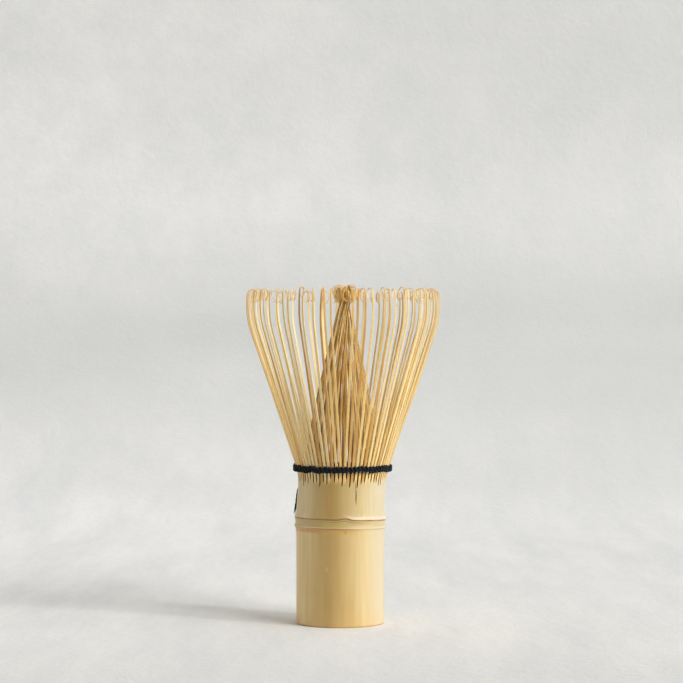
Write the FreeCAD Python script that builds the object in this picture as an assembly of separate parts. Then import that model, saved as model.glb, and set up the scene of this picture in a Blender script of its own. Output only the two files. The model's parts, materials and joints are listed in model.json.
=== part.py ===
# A bamboo tea whisk, in millimetres, +Z up, standing on its grip.
#
# The origin is the centre of the grip's cut foot. A whisk is carved from one bamboo culm and
# laced with one thread. The model names what a bench would tell apart: the grip internode,
# the diaphragm that closes the culm at its node, the collar internode above it, the roots
# that the collar is slit into, the outer and inner tines that flex above the thread, the
# binding thread that holds the two rings apart, and the thread's loose tail.
#
# A tine's centreline lies in the plane through the whisk's axis. It is drawn once, in X and
# Z with X as the radius, and turned round the axis for each place in its ring.

import FreeCAD
import Part

import math
import os

from FreeCAD import Vector

# Rings of tines. Each primary split of the culm wall becomes one segment, which flexes as one.
SEGMENTS = 18
TINES_PER_SEGMENT = 4
TINE_COUNT = SEGMENTS * TINES_PER_SEGMENT
TINE_PITCH_DEG = 360.0 / TINE_COUNT

# Grip internode, from the foot to the node.
GRIP_RADIUS = 14.2
GRIP_BORE_RADIUS = 10.4
FOOT_EDGE_BREAK = 0.5
NODE_Z = 29.6

# Node: the lower sheath ridge, the groove above it and the upper ridge, round the diaphragm.
RIDGE_RADIUS = 14.75
GROOVE_RADIUS = 14.45
UPPER_RIDGE_RADIUS = 14.6
RIDGE_Z = 31.4
GROOVE_Z = 32.8
UPPER_RIDGE_Z = 33.8
DIAPHRAGM_Z = 30.6
DIAPHRAGM_THICKNESS = 1.8

# Collar internode, from the node to the roots of the tines.
COLLAR_Z = 34.8
COLLAR_RADIUS = 14.35
COLLAR_BORE_RADIUS = 12.2
SKIVE_Z = 43.0
ROOT_Z = 46.0
ROOT_OUTER_RADIUS = 14.3
ROOT_WALL = 1.1

# The thread's plane, and the level just above it where the tines start to flex. The blades
# stand a hair clear of their roots, so that a blade can tilt without biting into its root.
THREAD_Z = 50.15
THREAD_HALF_HEIGHT = 1.0
FLEX_Z = 51.2
FLEX_GAP = 0.05

# Outer tines: a straight splay, a bend to upright, an upright stretch and a curled tip.
OUTER_FLEX_RADIUS = 15.4
OUTER_ROOT_WIDTH = 0.72
OUTER_FLEX_WIDTH = 0.80
OUTER_FLEX_THICKNESS = 0.55
SPLAY_TOP_RADIUS = 29.8
SPLAY_TOP_Z = 94.0
SPLAY_TOP_THICKNESS = 0.34
BEND_RADIUS = 30.0
BEND_THICKNESS = 0.28
UPRIGHT_TOP_Z = 105.9
UPRIGHT_THICKNESS = 0.22
CURL_RADIUS = 1.9
CURL_TURN_DEG = 250.0
CURL_TIP_THICKNESS = 0.16
OUTER_TIP_WIDTH = 0.40

# Inner tines: a lean towards the axis, then a short upright stretch in the gathered bundle.
# Neighbours end on two rings, so that the bundle packs tightly.
INNER_FLEX_RADIUS = 12.15
INNER_ROOT_WIDTH = 0.38
INNER_FLEX_WIDTH = 0.60
INNER_FLEX_THICKNESS = 0.50
LEAN_TOP_Z = 97.0
LEAN_TOP_RADII = (3.1, 4.1)
LEAN_TOP_THICKNESS = 0.26
GATHER_BEND_RADIUS = 20.0
GATHER_THICKNESS = 0.24
INNER_TOP_Z = 104.5
INNER_TIP_THICKNESS = 0.20
INNER_NECK_WIDTH = 0.30
INNER_TIP_WIDTH = 0.24

# Binding thread: a round outside the outer roots, a round inside them, and a link between
# every two outer roots where the strands cross.
THREAD_OUTER_RADIUS = 16.3
THREAD_INNER_RADIUS = 13.78
THREAD_ROUND_THICKNESS = 0.95
THREAD_CLEARANCE = 0.05
THREAD_LINK_WIDTH = 0.36
THREAD_LINK_HEIGHT = 0.9

# Loose tail of the thread, which hangs beside the collar.
TAIL_DIAMETER = 0.45
TAIL_ANGLE_DEG = 160.0
TAIL_POINTS = (
    (15.70, 49.15),
    (15.30, 46.9),
    (14.75, 44.5),
    (14.85, 42.0),
    (15.25, 39.5),
    (15.95, 37.1),
)
CORD_ARC_SHARE = 0.45

ALONG_Z = Vector(0, 0, 1)
ORIGIN = Vector(0, 0, 0)


def export(name, shape):
    """Writes one node, and says what it holds."""
    shape.exportStep(os.path.join("parts", name + ".step"))
    print(f"{name}: {len(shape.Solids)} solids, {shape.Volume:.1f} mm3, valid {shape.isValid()}")


def turned(shape, angle_deg):
    """A copy of the shape, turned about the whisk's axis."""
    copy = shape.copy()
    copy.rotate(ORIGIN, ALONG_Z, angle_deg)
    return copy


def revolved(outline):
    """The solid that a closed outline of (radius, z) points makes about the whisk's axis."""
    points = [Vector(r, 0, z) for r, z in outline]
    face = Part.Face(Part.makePolygon(points + points[:1]))
    return face.revolve(ORIGIN, ALONG_Z, 360)


def tine_angle(index):
    """Where tine number index of the outer ring stands. Segment 0 is centred on +X."""
    middle = (TINES_PER_SEGMENT - 1) / 2
    return (index - middle) * TINE_PITCH_DEG


# Centrelines -------------------------------------------------------------------------------


class Centreline:
    """A tine's middle line in the X-Z plane, walked from its root, with its thickness."""

    def __init__(self, radius, z, heading_deg, thickness):
        self.at = Vector(radius, 0, z)
        self.heading = math.radians(heading_deg)
        self.thickness = thickness
        self.outer_edges = []
        self.inner_edges = []

    def _sides(self, at, heading, thickness):
        """The points on the outer and inner faces beside a point of the middle line."""
        outward = Vector(math.cos(heading), 0, -math.sin(heading)) * (thickness / 2)
        return at + outward, at - outward

    def _move(self, at, heading, thickness):
        self.at, self.heading, self.thickness = at, heading, thickness

    def line_to(self, radius, z, thickness):
        """A straight stretch, to a point."""
        end = Vector(radius, 0, z)
        outer_start, inner_start = self._sides(self.at, self.heading, self.thickness)
        outer_end, inner_end = self._sides(end, self.heading, thickness)
        self.outer_edges.append(Part.LineSegment(outer_start, outer_end).toShape())
        self.inner_edges.append(Part.LineSegment(inner_start, inner_end).toShape())
        self._move(end, self.heading, thickness)

    def arc(self, bend_radius, turn_deg, thickness):
        """A bend towards the axis by turn_deg, or away from it if turn_deg is negative."""
        turn = math.radians(turn_deg)
        side = math.copysign(bend_radius, turn)
        inward = Vector(-math.cos(self.heading), 0, math.sin(self.heading))
        centre = self.at + inward * side

        def station(share):
            heading = self.heading - turn * share
            at = centre + Vector(math.cos(heading), 0, -math.sin(heading)) * side
            width = self.thickness + (thickness - self.thickness) * share
            return at, heading, self._sides(at, heading, width)

        stations = [station(share) for share in (0, 0.5, 1)]
        for edges, face in ((self.outer_edges, 0), (self.inner_edges, 1)):
            edges.append(Part.Arc(*[s[2][face] for s in stations]).toShape())
        self._move(stations[2][0], stations[2][1], thickness)

    def face(self):
        """The blade's outline as a face: its two sides, its root edge and its tip edge."""
        first_outer = self.outer_edges[0].Vertexes[0].Point
        first_inner = self.inner_edges[0].Vertexes[0].Point
        last_outer, last_inner = self._sides(self.at, self.heading, self.thickness)
        ends = [
            Part.LineSegment(first_inner, first_outer).toShape(),
            Part.LineSegment(last_outer, last_inner).toShape(),
        ]
        edges = Part.sortEdges(self.outer_edges + self.inner_edges + ends)[0]
        return Part.Face(Part.Wire(edges))


def heading_between(radius_a, z_a, radius_b, z_b):
    """The lean of a straight line from upright, in degrees, positive away from the axis."""
    return math.degrees(math.atan2(radius_b - radius_a, z_b - z_a))


def trimmed(slab, widths):
    """What a slab lying over +X keeps inside a width that changes with height."""
    right = [Vector(0, width / 2, z) for z, width in widths]
    left = [Vector(0, -width / 2, z) for z, width in reversed(widths)]
    mask = Part.Face(Part.makePolygon(right + left + right[:1]))
    reach = 2 * SPLAY_TOP_RADIUS
    return slab.common(mask.extrude(Vector(reach, 0, 0))).Solids[0]


def started_below(radius, heading_deg, thickness):
    """A centreline that passes the flex level at a radius, and starts a little under it.

    The blade's mask then cuts its root level with the flex plane.
    """
    below = 0.5
    start = radius - below * math.tan(math.radians(heading_deg))
    return Centreline(start, FLEX_Z - below, heading_deg, thickness)


def blade(centreline, widths):
    """The centreline's face, given a width that changes with height, from (z, width) pairs."""
    widest = max(width for _, width in widths)
    slab = centreline.face().extrude(Vector(0, widest, 0))
    slab.translate(Vector(0, -widest / 2, 0))
    return trimmed(slab, widths)


# Tines -------------------------------------------------------------------------------------


def outer_tine():
    """One outer tine above the thread, lying over +X."""
    splay = heading_between(OUTER_FLEX_RADIUS, FLEX_Z, SPLAY_TOP_RADIUS, SPLAY_TOP_Z)
    line = started_below(OUTER_FLEX_RADIUS, splay, OUTER_FLEX_THICKNESS)
    line.line_to(SPLAY_TOP_RADIUS, SPLAY_TOP_Z, SPLAY_TOP_THICKNESS)
    line.arc(BEND_RADIUS, splay, BEND_THICKNESS)
    line.line_to(line.at.x, UPRIGHT_TOP_Z, UPRIGHT_THICKNESS)
    line.arc(CURL_RADIUS, CURL_TURN_DEG, CURL_TIP_THICKNESS)
    crown = UPRIGHT_TOP_Z + CURL_RADIUS + 1
    return blade(line, ((FLEX_Z + FLEX_GAP, OUTER_FLEX_WIDTH), (crown, OUTER_TIP_WIDTH)))


def inner_tine(ring):
    """One inner tine above the thread, lying over +X, that ends on gathering ring 0 or 1."""
    top_radius = LEAN_TOP_RADII[ring]
    lean = heading_between(INNER_FLEX_RADIUS, FLEX_Z, top_radius, LEAN_TOP_Z)
    line = started_below(INNER_FLEX_RADIUS, lean, INNER_FLEX_THICKNESS)
    line.line_to(top_radius, LEAN_TOP_Z, LEAN_TOP_THICKNESS)
    line.arc(GATHER_BEND_RADIUS, lean, GATHER_THICKNESS)
    line.line_to(line.at.x, INNER_TOP_Z, INNER_TIP_THICKNESS)
    widths = (
        (FLEX_Z + FLEX_GAP, INNER_FLEX_WIDTH),
        (LEAN_TOP_Z, INNER_NECK_WIDTH),
        (INNER_TOP_Z, INNER_TIP_WIDTH),
    )
    return blade(line, widths)


def root(flex_radius, flex_thickness, heading_deg, root_width, flex_width):
    """The fixed foot of a tine, from the collar's rim to the flex level, lying over +X."""
    half = flex_thickness / 2 / math.cos(math.radians(heading_deg))
    outline = [
        Vector(ROOT_OUTER_RADIUS - ROOT_WALL, 0, ROOT_Z),
        Vector(ROOT_OUTER_RADIUS, 0, ROOT_Z),
        Vector(flex_radius + half, 0, FLEX_Z),
        Vector(flex_radius - half, 0, FLEX_Z),
    ]
    side = Part.Face(Part.makePolygon(outline + outline[:1]))
    slab = side.extrude(Vector(0, flex_width, 0))
    slab.translate(Vector(0, -flex_width / 2, 0))
    widths = ((ROOT_Z, root_width), (FLEX_Z, flex_width))
    return trimmed(slab, widths)


def outer_root():
    """The root of an outer tine, which splays out to pass outside the inner round."""
    splay = heading_between(OUTER_FLEX_RADIUS, FLEX_Z, SPLAY_TOP_RADIUS, SPLAY_TOP_Z)
    return root(OUTER_FLEX_RADIUS, OUTER_FLEX_THICKNESS, splay, OUTER_ROOT_WIDTH, OUTER_FLEX_WIDTH)


def inner_root():
    """The root of an inner tine, which leans in to pass inside the inner round."""
    lean = heading_between(INNER_FLEX_RADIUS, FLEX_Z, LEAN_TOP_RADII[0], LEAN_TOP_Z)
    return root(INNER_FLEX_RADIUS, INNER_FLEX_THICKNESS, lean, INNER_ROOT_WIDTH, INNER_FLEX_WIDTH)


# Culm --------------------------------------------------------------------------------------


def grip_internode():
    """The hollow internode that the hand holds, open at its cut foot."""
    return revolved(
        (
            (GRIP_BORE_RADIUS, 0),
            (GRIP_RADIUS - FOOT_EDGE_BREAK, 0),
            (GRIP_RADIUS, FOOT_EDGE_BREAK),
            (GRIP_RADIUS, NODE_Z),
            (GRIP_BORE_RADIUS, NODE_Z),
        )
    )


def node_diaphragm():
    """The culm's node: two ridges round the outside, and the diaphragm that closes the culm."""
    diaphragm_top = DIAPHRAGM_Z + DIAPHRAGM_THICKNESS
    return revolved(
        (
            (0, DIAPHRAGM_Z),
            (GRIP_BORE_RADIUS - 1.0, DIAPHRAGM_Z),
            (GRIP_BORE_RADIUS, NODE_Z),
            (GRIP_RADIUS, NODE_Z),
            (GROOVE_RADIUS, RIDGE_Z - 0.7),
            (RIDGE_RADIUS, RIDGE_Z),
            (GROOVE_RADIUS, RIDGE_Z + 0.5),
            (GROOVE_RADIUS, GROOVE_Z),
            (UPPER_RIDGE_RADIUS, UPPER_RIDGE_Z - 0.3),
            (UPPER_RIDGE_RADIUS, UPPER_RIDGE_Z),
            (COLLAR_RADIUS, COLLAR_Z),
            (COLLAR_BORE_RADIUS, COLLAR_Z),
            (COLLAR_BORE_RADIUS - 1.0, diaphragm_top),
            (0, diaphragm_top),
        )
    )


def collar_internode():
    """The short internode above the node, skived thin inside towards the roots."""
    return revolved(
        (
            (COLLAR_BORE_RADIUS, COLLAR_Z),
            (COLLAR_RADIUS, COLLAR_Z),
            (ROOT_OUTER_RADIUS, ROOT_Z),
            (ROOT_OUTER_RADIUS - ROOT_WALL, ROOT_Z),
            (COLLAR_BORE_RADIUS, SKIVE_Z),
        )
    )


# Thread ------------------------------------------------------------------------------------


def root_face_radius(z):
    """How far out the outer roots' outer faces stand at a height."""
    splay = heading_between(OUTER_FLEX_RADIUS, FLEX_Z, SPLAY_TOP_RADIUS, SPLAY_TOP_Z)
    flex_face = OUTER_FLEX_RADIUS + OUTER_FLEX_THICKNESS / 2 / math.cos(math.radians(splay))
    share = (z - ROOT_Z) / (FLEX_Z - ROOT_Z)
    return ROOT_OUTER_RADIUS + (flex_face - ROOT_OUTER_RADIUS) * share


def outer_round():
    """The round of thread outside the outer roots, with a bulging outer face."""
    low, high = THREAD_Z - THREAD_HALF_HEIGHT, THREAD_Z + THREAD_HALF_HEIGHT
    corners = [
        Vector(root_face_radius(low) + THREAD_CLEARANCE, 0, low),
        Vector(root_face_radius(low) + THREAD_ROUND_THICKNESS / 2, 0, low),
        Vector(root_face_radius(high) + THREAD_ROUND_THICKNESS / 2, 0, high),
        Vector(root_face_radius(high) + THREAD_CLEARANCE, 0, high),
    ]
    crown = Vector(THREAD_OUTER_RADIUS, 0, THREAD_Z)
    edges = [
        Part.LineSegment(corners[0], corners[1]).toShape(),
        Part.Arc(corners[1], crown, corners[2]).toShape(),
        Part.LineSegment(corners[2], corners[3]).toShape(),
        Part.LineSegment(corners[3], corners[0]).toShape(),
    ]
    return Part.Face(Part.Wire(edges)).revolve(ORIGIN, ALONG_Z, 360)


def binding_thread():
    """The twined thread as one solid: both rounds, and a link in each gap between roots."""
    inner_round = Part.makeTorus(THREAD_INNER_RADIUS, THREAD_ROUND_THICKNESS / 2)
    inner_round.translate(Vector(0, 0, THREAD_Z))
    reach = THREAD_OUTER_RADIUS - THREAD_ROUND_THICKNESS / 2 - THREAD_INNER_RADIUS
    link = Part.makeBox(
        reach,
        THREAD_LINK_WIDTH,
        THREAD_LINK_HEIGHT,
        Vector(THREAD_INNER_RADIUS, -THREAD_LINK_WIDTH / 2, THREAD_Z - THREAD_LINK_HEIGHT / 2),
    )
    gaps = [tine_angle(n) + TINE_PITCH_DEG / 2 for n in range(TINE_COUNT)]
    return outer_round().fuse([inner_round] + [turned(link, angle) for angle in gaps])


def cord_tube(points, diameter):
    """A round tube along straight runs joined by tangent arcs, and its length."""
    edges = []
    start = points[0]
    for before, at, after in zip(points, points[1:], points[2:]):
        back, on = (before - at).normalize(), (after - at).normalize()
        turn = math.pi - back.getAngle(on)
        shorter = min((before - at).Length, (after - at).Length)
        bend_radius = CORD_ARC_SHARE * shorter / math.tan(turn / 2)
        trim = CORD_ARC_SHARE * shorter
        towards_middle = (back + on).normalize()
        middle = at + towards_middle * (bend_radius / math.cos(turn / 2) - bend_radius)
        edges.append(Part.LineSegment(start, at + back * trim).toShape())
        edges.append(Part.Arc(at + back * trim, middle, at + on * trim).toShape())
        start = at + on * trim
        print(f"cord bend radius {bend_radius:.1f} mm, {bend_radius / diameter:.1f} diameters")
    edges.append(Part.LineSegment(start, points[-1]).toShape())
    path = Part.Wire(edges)
    across = Part.Circle(points[0], points[1] - points[0], diameter / 2)
    tube = path.makePipeShell([Part.Wire(across.toShape())], True, False)
    return tube, path.Length


def thread_tail():
    """The thread's loose end, stiff enough to stand a little off the collar."""
    points = [Vector(r, 0, z) for r, z in TAIL_POINTS]
    tube, length = cord_tube(points, TAIL_DIAMETER)
    section = math.pi * (TAIL_DIAMETER / 2) ** 2
    print(f"tail: {length:.1f} mm long, volume over section times length {tube.Volume / section / length:.3f}")
    return turned(tube, TAIL_ANGLE_DEG)


# Nodes -------------------------------------------------------------------------------------


def segment(kinds, number):
    """The tines of one segment, as a group of separate solids. Kinds repeat round the ring."""
    first = number * TINES_PER_SEGMENT
    places = range(first, first + TINES_PER_SEGMENT)
    return [turned(kinds[n % len(kinds)], tine_angle(n)) for n in places]


def between(solids):
    """Inner tines stand half a pitch on from the outer ones."""
    return [turned(solid, TINE_PITCH_DEG / 2) for solid in solids]


def main():
    os.makedirs("parts", exist_ok=True)
    export("grip_internode", grip_internode())
    export("node_diaphragm", node_diaphragm())
    export("collar_internode", collar_internode())
    export("binding_thread", binding_thread())
    export("thread_tail", thread_tail())

    outer_foot, inner_foot = outer_root(), inner_root()
    outer_feet = [turned(outer_foot, tine_angle(n)) for n in range(TINE_COUNT)]
    inner_feet = between([turned(inner_foot, tine_angle(n)) for n in range(TINE_COUNT)])
    export("outer_tine_roots", Part.makeCompound(outer_feet))
    export("inner_tine_roots", Part.makeCompound(inner_feet))

    outer_kinds = [outer_tine()]
    inner_kinds = [inner_tine(0), inner_tine(1)]
    for number in range(SEGMENTS):
        outer = segment(outer_kinds, number)
        inner = between(segment(inner_kinds, number))
        export(f"outer_tines_{number + 1:02d}", Part.makeCompound(outer))
        export(f"inner_tines_{number + 1:02d}", Part.makeCompound(inner))


main()
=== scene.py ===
# A bamboo tea whisk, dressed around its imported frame.
#
# Shapes are worked out in millimetres in the row frame and written to meshes in metres.
# +Z is up, the camera looks along +Y, and angles run from +X towards +Y.

import json
import math
import random

import bmesh
import bpy
from mathutils import Matrix, Vector, noise


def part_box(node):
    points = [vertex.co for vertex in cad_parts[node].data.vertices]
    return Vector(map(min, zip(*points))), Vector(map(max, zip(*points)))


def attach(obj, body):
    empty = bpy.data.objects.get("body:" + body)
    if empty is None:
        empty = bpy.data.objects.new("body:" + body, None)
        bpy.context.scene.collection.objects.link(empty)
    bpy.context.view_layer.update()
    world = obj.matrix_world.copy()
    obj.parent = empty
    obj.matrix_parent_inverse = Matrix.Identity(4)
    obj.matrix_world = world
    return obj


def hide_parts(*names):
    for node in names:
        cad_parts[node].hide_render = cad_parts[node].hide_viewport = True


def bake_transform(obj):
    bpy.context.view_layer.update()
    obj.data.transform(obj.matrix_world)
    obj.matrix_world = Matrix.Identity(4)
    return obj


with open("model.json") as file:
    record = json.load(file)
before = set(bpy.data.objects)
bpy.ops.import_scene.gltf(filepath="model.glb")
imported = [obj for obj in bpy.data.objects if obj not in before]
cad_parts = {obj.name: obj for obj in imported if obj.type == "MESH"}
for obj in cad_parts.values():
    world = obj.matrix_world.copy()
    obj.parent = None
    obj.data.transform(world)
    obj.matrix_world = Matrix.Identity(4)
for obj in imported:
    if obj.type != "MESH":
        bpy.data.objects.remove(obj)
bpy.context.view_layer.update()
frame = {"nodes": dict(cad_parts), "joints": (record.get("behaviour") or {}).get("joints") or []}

MM = 0.001
UP = Vector((0, 0, 1))


# Sizes taken from the frame, in millimetres -------------------------------------------------


def top_of(node):
    """(greatest X, greatest Z) of a CAD node."""
    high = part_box(node)[1] / MM
    return high.x, high.z


def hinge_radius(joint_name):
    """How far from the axis a joint's hinge line stands."""
    joint = next(j for j in frame["joints"] if j["name"] == joint_name)
    x, y, _ = joint["pos_m"]
    return math.hypot(x, y) / MM


GRIP_RADIUS, GRIP_TOP = top_of("grip_internode")
RIDGE_RADIUS, NODE_TOP = top_of("node_diaphragm")
COLLAR_RADIUS = top_of("collar_internode")[0]
THREAD_Z = sum(corner.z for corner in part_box("binding_thread")) / 2 / MM
OUTER_FLEX_RADIUS = hinge_radius("outer_flex_01")

SEGMENTS = sum(1 for name in frame["nodes"] if name.startswith("outer_tines_"))
TINES_PER_SEGMENT = 4
TINES = SEGMENTS * TINES_PER_SEGMENT
PITCH = math.tau / TINES


# Sizes of the culm --------------------------------------------------------------------------

BORE_RADIUS = 10.4
COLLAR_BORE_RADIUS = 12.2
DIAPHRAGM_LOW = 30.6
DIAPHRAGM_HIGH = 32.4
RIDGE_Z = 31.35
GROOVE_RADIUS = 14.42
UPPER_LINE_Z = 33.85
ROOT_START = 43.6  # the collar is one ring up to here, and separate teeth above
ROOT_RADIUS = 14.15
OUTER_WALL = 2.0  # the collar's wall where the teeth start

# How much of the node's rise, of its oval and of the grip's unevenness a height takes.
UPPER_LINE_SHARE = ((32.2, 0), (33.3, 1), (35.2, 1), (38.5, 0))
RIDGE_SHARE = ((27.0, 0), (29.6, 1), (32.2, 1), (33.3, 0))
NODE_SHARE = ((29.5, 0), (31.0, 1), (34.6, 1), (36.5, 0))
UNEVEN_SHARE = ((38.0, 1), (42.5, 0))
LINE_TILT = 0.45
RIDGE_TILT = 0.30

OUTSIDE_STEP = 0.45
INSIDE_STEP = 2.0
COLUMNS = 360

# The culm is not quite straight: the collar and the head stand a little to +X of the grip.
HEAD_SHIFT = 0.8
SHIFT_LOW, SHIFT_HIGH = 34.0, 52.0

FRONT = math.radians(-90)
BUD_ANGLE = FRONT + math.radians(6.5)

# A split that runs down the collar from one slit, right of the front.
CRACK_ANGLE = FRONT + 4 * PITCH
CRACK_LOW = 38.8
CRACK_HALF_WIDTH = 0.10
CRACK_DEPTH = 0.6

# Sizes of the outer tines -------------------------------------------------------------------

SPLAY = math.radians(18.6)
ROOT_SPLAY = math.radians(15)  # the part of the splay that is taken below the thread
TUCK = math.radians(1.5)  # how far past upright the tines turn at their bend
PARTING = math.radians(3.3)
PARTING_REACH = math.radians(9)
OUTER_WIDTH = 0.80

SLIT_BOTTOMS = (43.9, 47.6, 46.2)  # lowest, highest and commonest height
SLIT_TAPER = 0.7  # the height over which a slit opens to its half width
SLIT_HALF_WIDTH = 0.17

# Lengths along an outer tine, from the collar's ring up.
ROOT_RISE, ROOT_CURVE, LACED_RUN = 1.6, 4.0, 4.0
HALF_RUN, BEND_RUN, TIP_RUN = 22.0, 9.0, 2.9
ROOT_LENGTH = 9.5  # the section follows the slits up to here, and a taper above

# The section along an outer tine, as (length from the root, millimetres).
ROOT_THICKNESS = ((0, OUTER_WALL), (2.4, 1.1), (7.6, 0.6), (ROOT_LENGTH, 0.5))
ROOT_CHAMFER = ((0, 0.001), (1.5, 0.01), (4.0, 0.07))
OUTER_HALF_WIDTH = ((ROOT_LENGTH, OUTER_WIDTH / 2), (30, 0.39), (52, 0.35), (64, 0.28), (74, 0.16))
OUTER_THICKNESS = ((ROOT_LENGTH, 0.5), (30, 0.40), (52, 0.28), (62, 0.22), (72, 0.13))

# The curl at an outer tine's tip, as lowest and highest. Turns are in degrees.
OUTER_CURL_RADIUS = (1.35, 1.85)
OUTER_CURL_TURN = (165, 190)
OUTER_HOOK_RUN = (2.6, 4.4)
OUTER_HOOK_TURN = (60, 160)

# Sizes of the inner tines -------------------------------------------------------------------

INNER_ROOT_Z = 44.4
INNER_ROOT_RADIUS = 13.1
NECK_Z = 101.8
NECK_RADIUS = (0.4, 2.1)
CONE_TWIST = math.radians(24)
APEX_SHIFT = Vector((0.6, 0.2, 0))

INNER_HALF_WIDTH = (
    (0, 0.30), (3, 0.34), (7, 0.31), (30, 0.25), (52, 0.17), (60, 0.14), (70, 0.10)
)
INNER_THICKNESS = ((0, 0.9), (7, 0.5), (30, 0.34), (52, 0.24), (66, 0.14))

INNER_CURL_RADIUS = (1.05, 1.65)
INNER_CURL_TURN = (165, 195)
INNER_HOOK_TURN = (90, 190)


# Strands and meshes -------------------------------------------------------------------------


def linked(name, data):
    """A new object in the scene."""
    made = bpy.data.objects.new(name, data)
    bpy.context.scene.collection.objects.link(made)
    return made


class Strand:
    """A shaved strip of bamboo, grown station by station from its root.

    A station is a point on the strip's outer face, the way it runs, and its width direction.
    """

    def __init__(self, at, along, side):
        self.at, self.along, self.side = at.copy(), along.normalized(), side.normalized()
        self.length = 0.0
        self.stations = []
        self._mark()

    def _mark(self):
        self.stations.append((self.at.copy(), self.along.copy(), self.side.copy(), self.length))

    def _turn(self, axis, angle):
        turn = Matrix.Rotation(angle, 3, axis)
        self.along = (turn @ self.along).normalized()
        self.side = (turn @ self.side).normalized()

    def _advance(self, distance):
        self.at = self.at + self.along * distance
        self.length += distance
        self._mark()

    def forward(self, distance, steps, outward=0.0, sideways=0.0, twist=0.0):
        """Grows by a distance while turning, in all, by the angles given in radians."""
        for _ in range(steps):
            out = self.side.cross(self.along)
            self._turn(self.side, outward / steps)
            self._turn(out, sideways / steps)
            self._turn(self.along, twist / steps)
            self._advance(distance / steps)

    def steer(self, target, steps, eagerness=0.3):
        """Grows to a target point, turning towards it a share at each step."""
        for left in range(steps, 0, -1):
            gap = target - self.at
            wanted = self.along.lerp(gap.normalized(), 1.0 if left == 1 else eagerness)
            turn = self.along.rotation_difference(wanted.normalized())
            self.along, self.side = turn @ self.along, turn @ self.side
            self._advance(gap.length / left)


def between(value, pairs):
    """Reads a piecewise-linear curve given as (place, height) pairs."""
    for (a, height_a), (b, height_b) in zip(pairs, pairs[1:]):
        if value <= b:
            share = max(0.0, (value - a) / (b - a))
            return height_a + (height_b - height_a) * share
    return pairs[-1][1]


SKIN_POINTS = 5  # the first points of a strip's section lie on its outer face


def strip_section(left, right, thickness, chamfer, crown):
    """A strip's cross-section as (across, outward) points, from its outer left corner round."""
    middle, half = (right - left) / 2, (right + left) / 2
    return [
        (-left + chamfer, 0.0),
        (middle - half / 2, crown * 0.75),
        (middle, crown),
        (middle + half / 2, crown * 0.75),
        (right - chamfer, 0.0),
        (right, -chamfer),
        (right, chamfer - thickness),
        (right - chamfer, -thickness),
        (middle, -thickness),
        (-left + chamfer, -thickness),
        (-left, chamfer - thickness),
        (-left, -chamfer),
    ]


class MeshParts:
    """Collects the points and faces of many closed strips or tubes, then makes one object."""

    def __init__(self):
        self.points, self.faces, self.notes = [], [], []

    def loft(self, rings, notes, closed=False):
        """Joins rings of points of one length. Each ring has a note for each of its points."""
        start, size = len(self.points), len(rings[0])
        for ring, ring_notes in zip(rings, notes):
            self.points.extend(settled(point) for point in ring)
            self.notes.extend(ring_notes)
        last = len(rings) if closed else len(rings) - 1
        for row in range(last):
            low = start + row * size
            high = start + (row + 1) % len(rings) * size
            for i in range(size):
                j = (i + 1) % size
                self.faces.append((low + i, low + j, high + j, high + i))
        if not closed:
            self.faces.append(tuple(start + i for i in reversed(range(size))))
            self.faces.append(tuple(start + (len(rings) - 1) * size + i for i in range(size)))

    def build(self, name, material, sharp_deg=35):
        """The object. Its notes become the point attributes "strand" and "skin"."""
        mesh = bpy.data.meshes.new(name)
        mesh.from_pydata([p * MM for p in self.points], [], self.faces)
        mesh.attributes.new("strand", "FLOAT_VECTOR", "POINT").data.foreach_set(
            "vector", [value for note in self.notes for value in note[:3]]
        )
        mesh.attributes.new("skin", "FLOAT", "POINT").data.foreach_set(
            "value", [note[3] for note in self.notes]
        )
        mesh.polygons.foreach_set("use_smooth", [True] * len(mesh.polygons))
        mesh.set_sharp_from_angle(angle=math.radians(sharp_deg))
        mesh.materials.append(material)
        mesh.validate()
        return linked(name, mesh)


def add_strip(parts, strand, shape_at, tone):
    """Lofts a strand. shape_at(station length, place) gives strip_section's arguments."""
    rings, notes = [], []
    total = strand.length
    for at, along, side, length in strand.stations:
        out = side.cross(along)
        section = strip_section(*shape_at(length, at))
        rings.append([at + side * u + out * v for u, v in section])
        on_skin = [float(number < SKIN_POINTS) for number in range(len(section))]
        notes.append([(tone, length, length / total, skin) for skin in on_skin])
    parts.loft(rings, notes)


# Tines --------------------------------------------------------------------------------------


def eased(value, low, high):
    """0 below low, 1 above high, and smooth between."""
    share = min(1.0, max(0.0, (value - low) / (high - low)))
    return share * share * (3 - 2 * share)


def some(draw, degrees):
    """A random small angle in radians, either way, with a spread given in degrees."""
    return draw.gauss(0, math.radians(degrees))


def settled(point):
    """The point moved with the culm's slight lean towards +X."""
    return point + Vector((HEAD_SHIFT * eased(point.z, SHIFT_LOW, SHIFT_HIGH), 0, 0))


def radial(angle):
    return Vector((math.cos(angle), math.sin(angle), 0))


def tangential(angle):
    return Vector((-math.sin(angle), math.cos(angle), 0))


def turned(angle):
    """An angle brought between minus and plus half a turn."""
    return (angle + math.pi) % math.tau - math.pi


def outer_angle(index):
    """Where outer tine number index stands. Four are centred on +X."""
    return (index - (TINES_PER_SEGMENT - 1) / 2) * PITCH


def slit_bottom(index):
    """The height where the slit between outer roots index and index + 1 starts."""
    if abs(turned(outer_angle(index) + PITCH / 2 - CRACK_ANGLE)) < PITCH / 4:
        return ROOT_START + 0.6
    return random.Random(index % TINES).triangular(*SLIT_BOTTOMS)


def parting(angle):
    """How far, in radians, an outer tine near the front leans aside from the front."""
    aside = turned(angle - FRONT)
    return math.copysign(PARTING * math.exp(-((aside / PARTING_REACH) ** 2)), aside)


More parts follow.
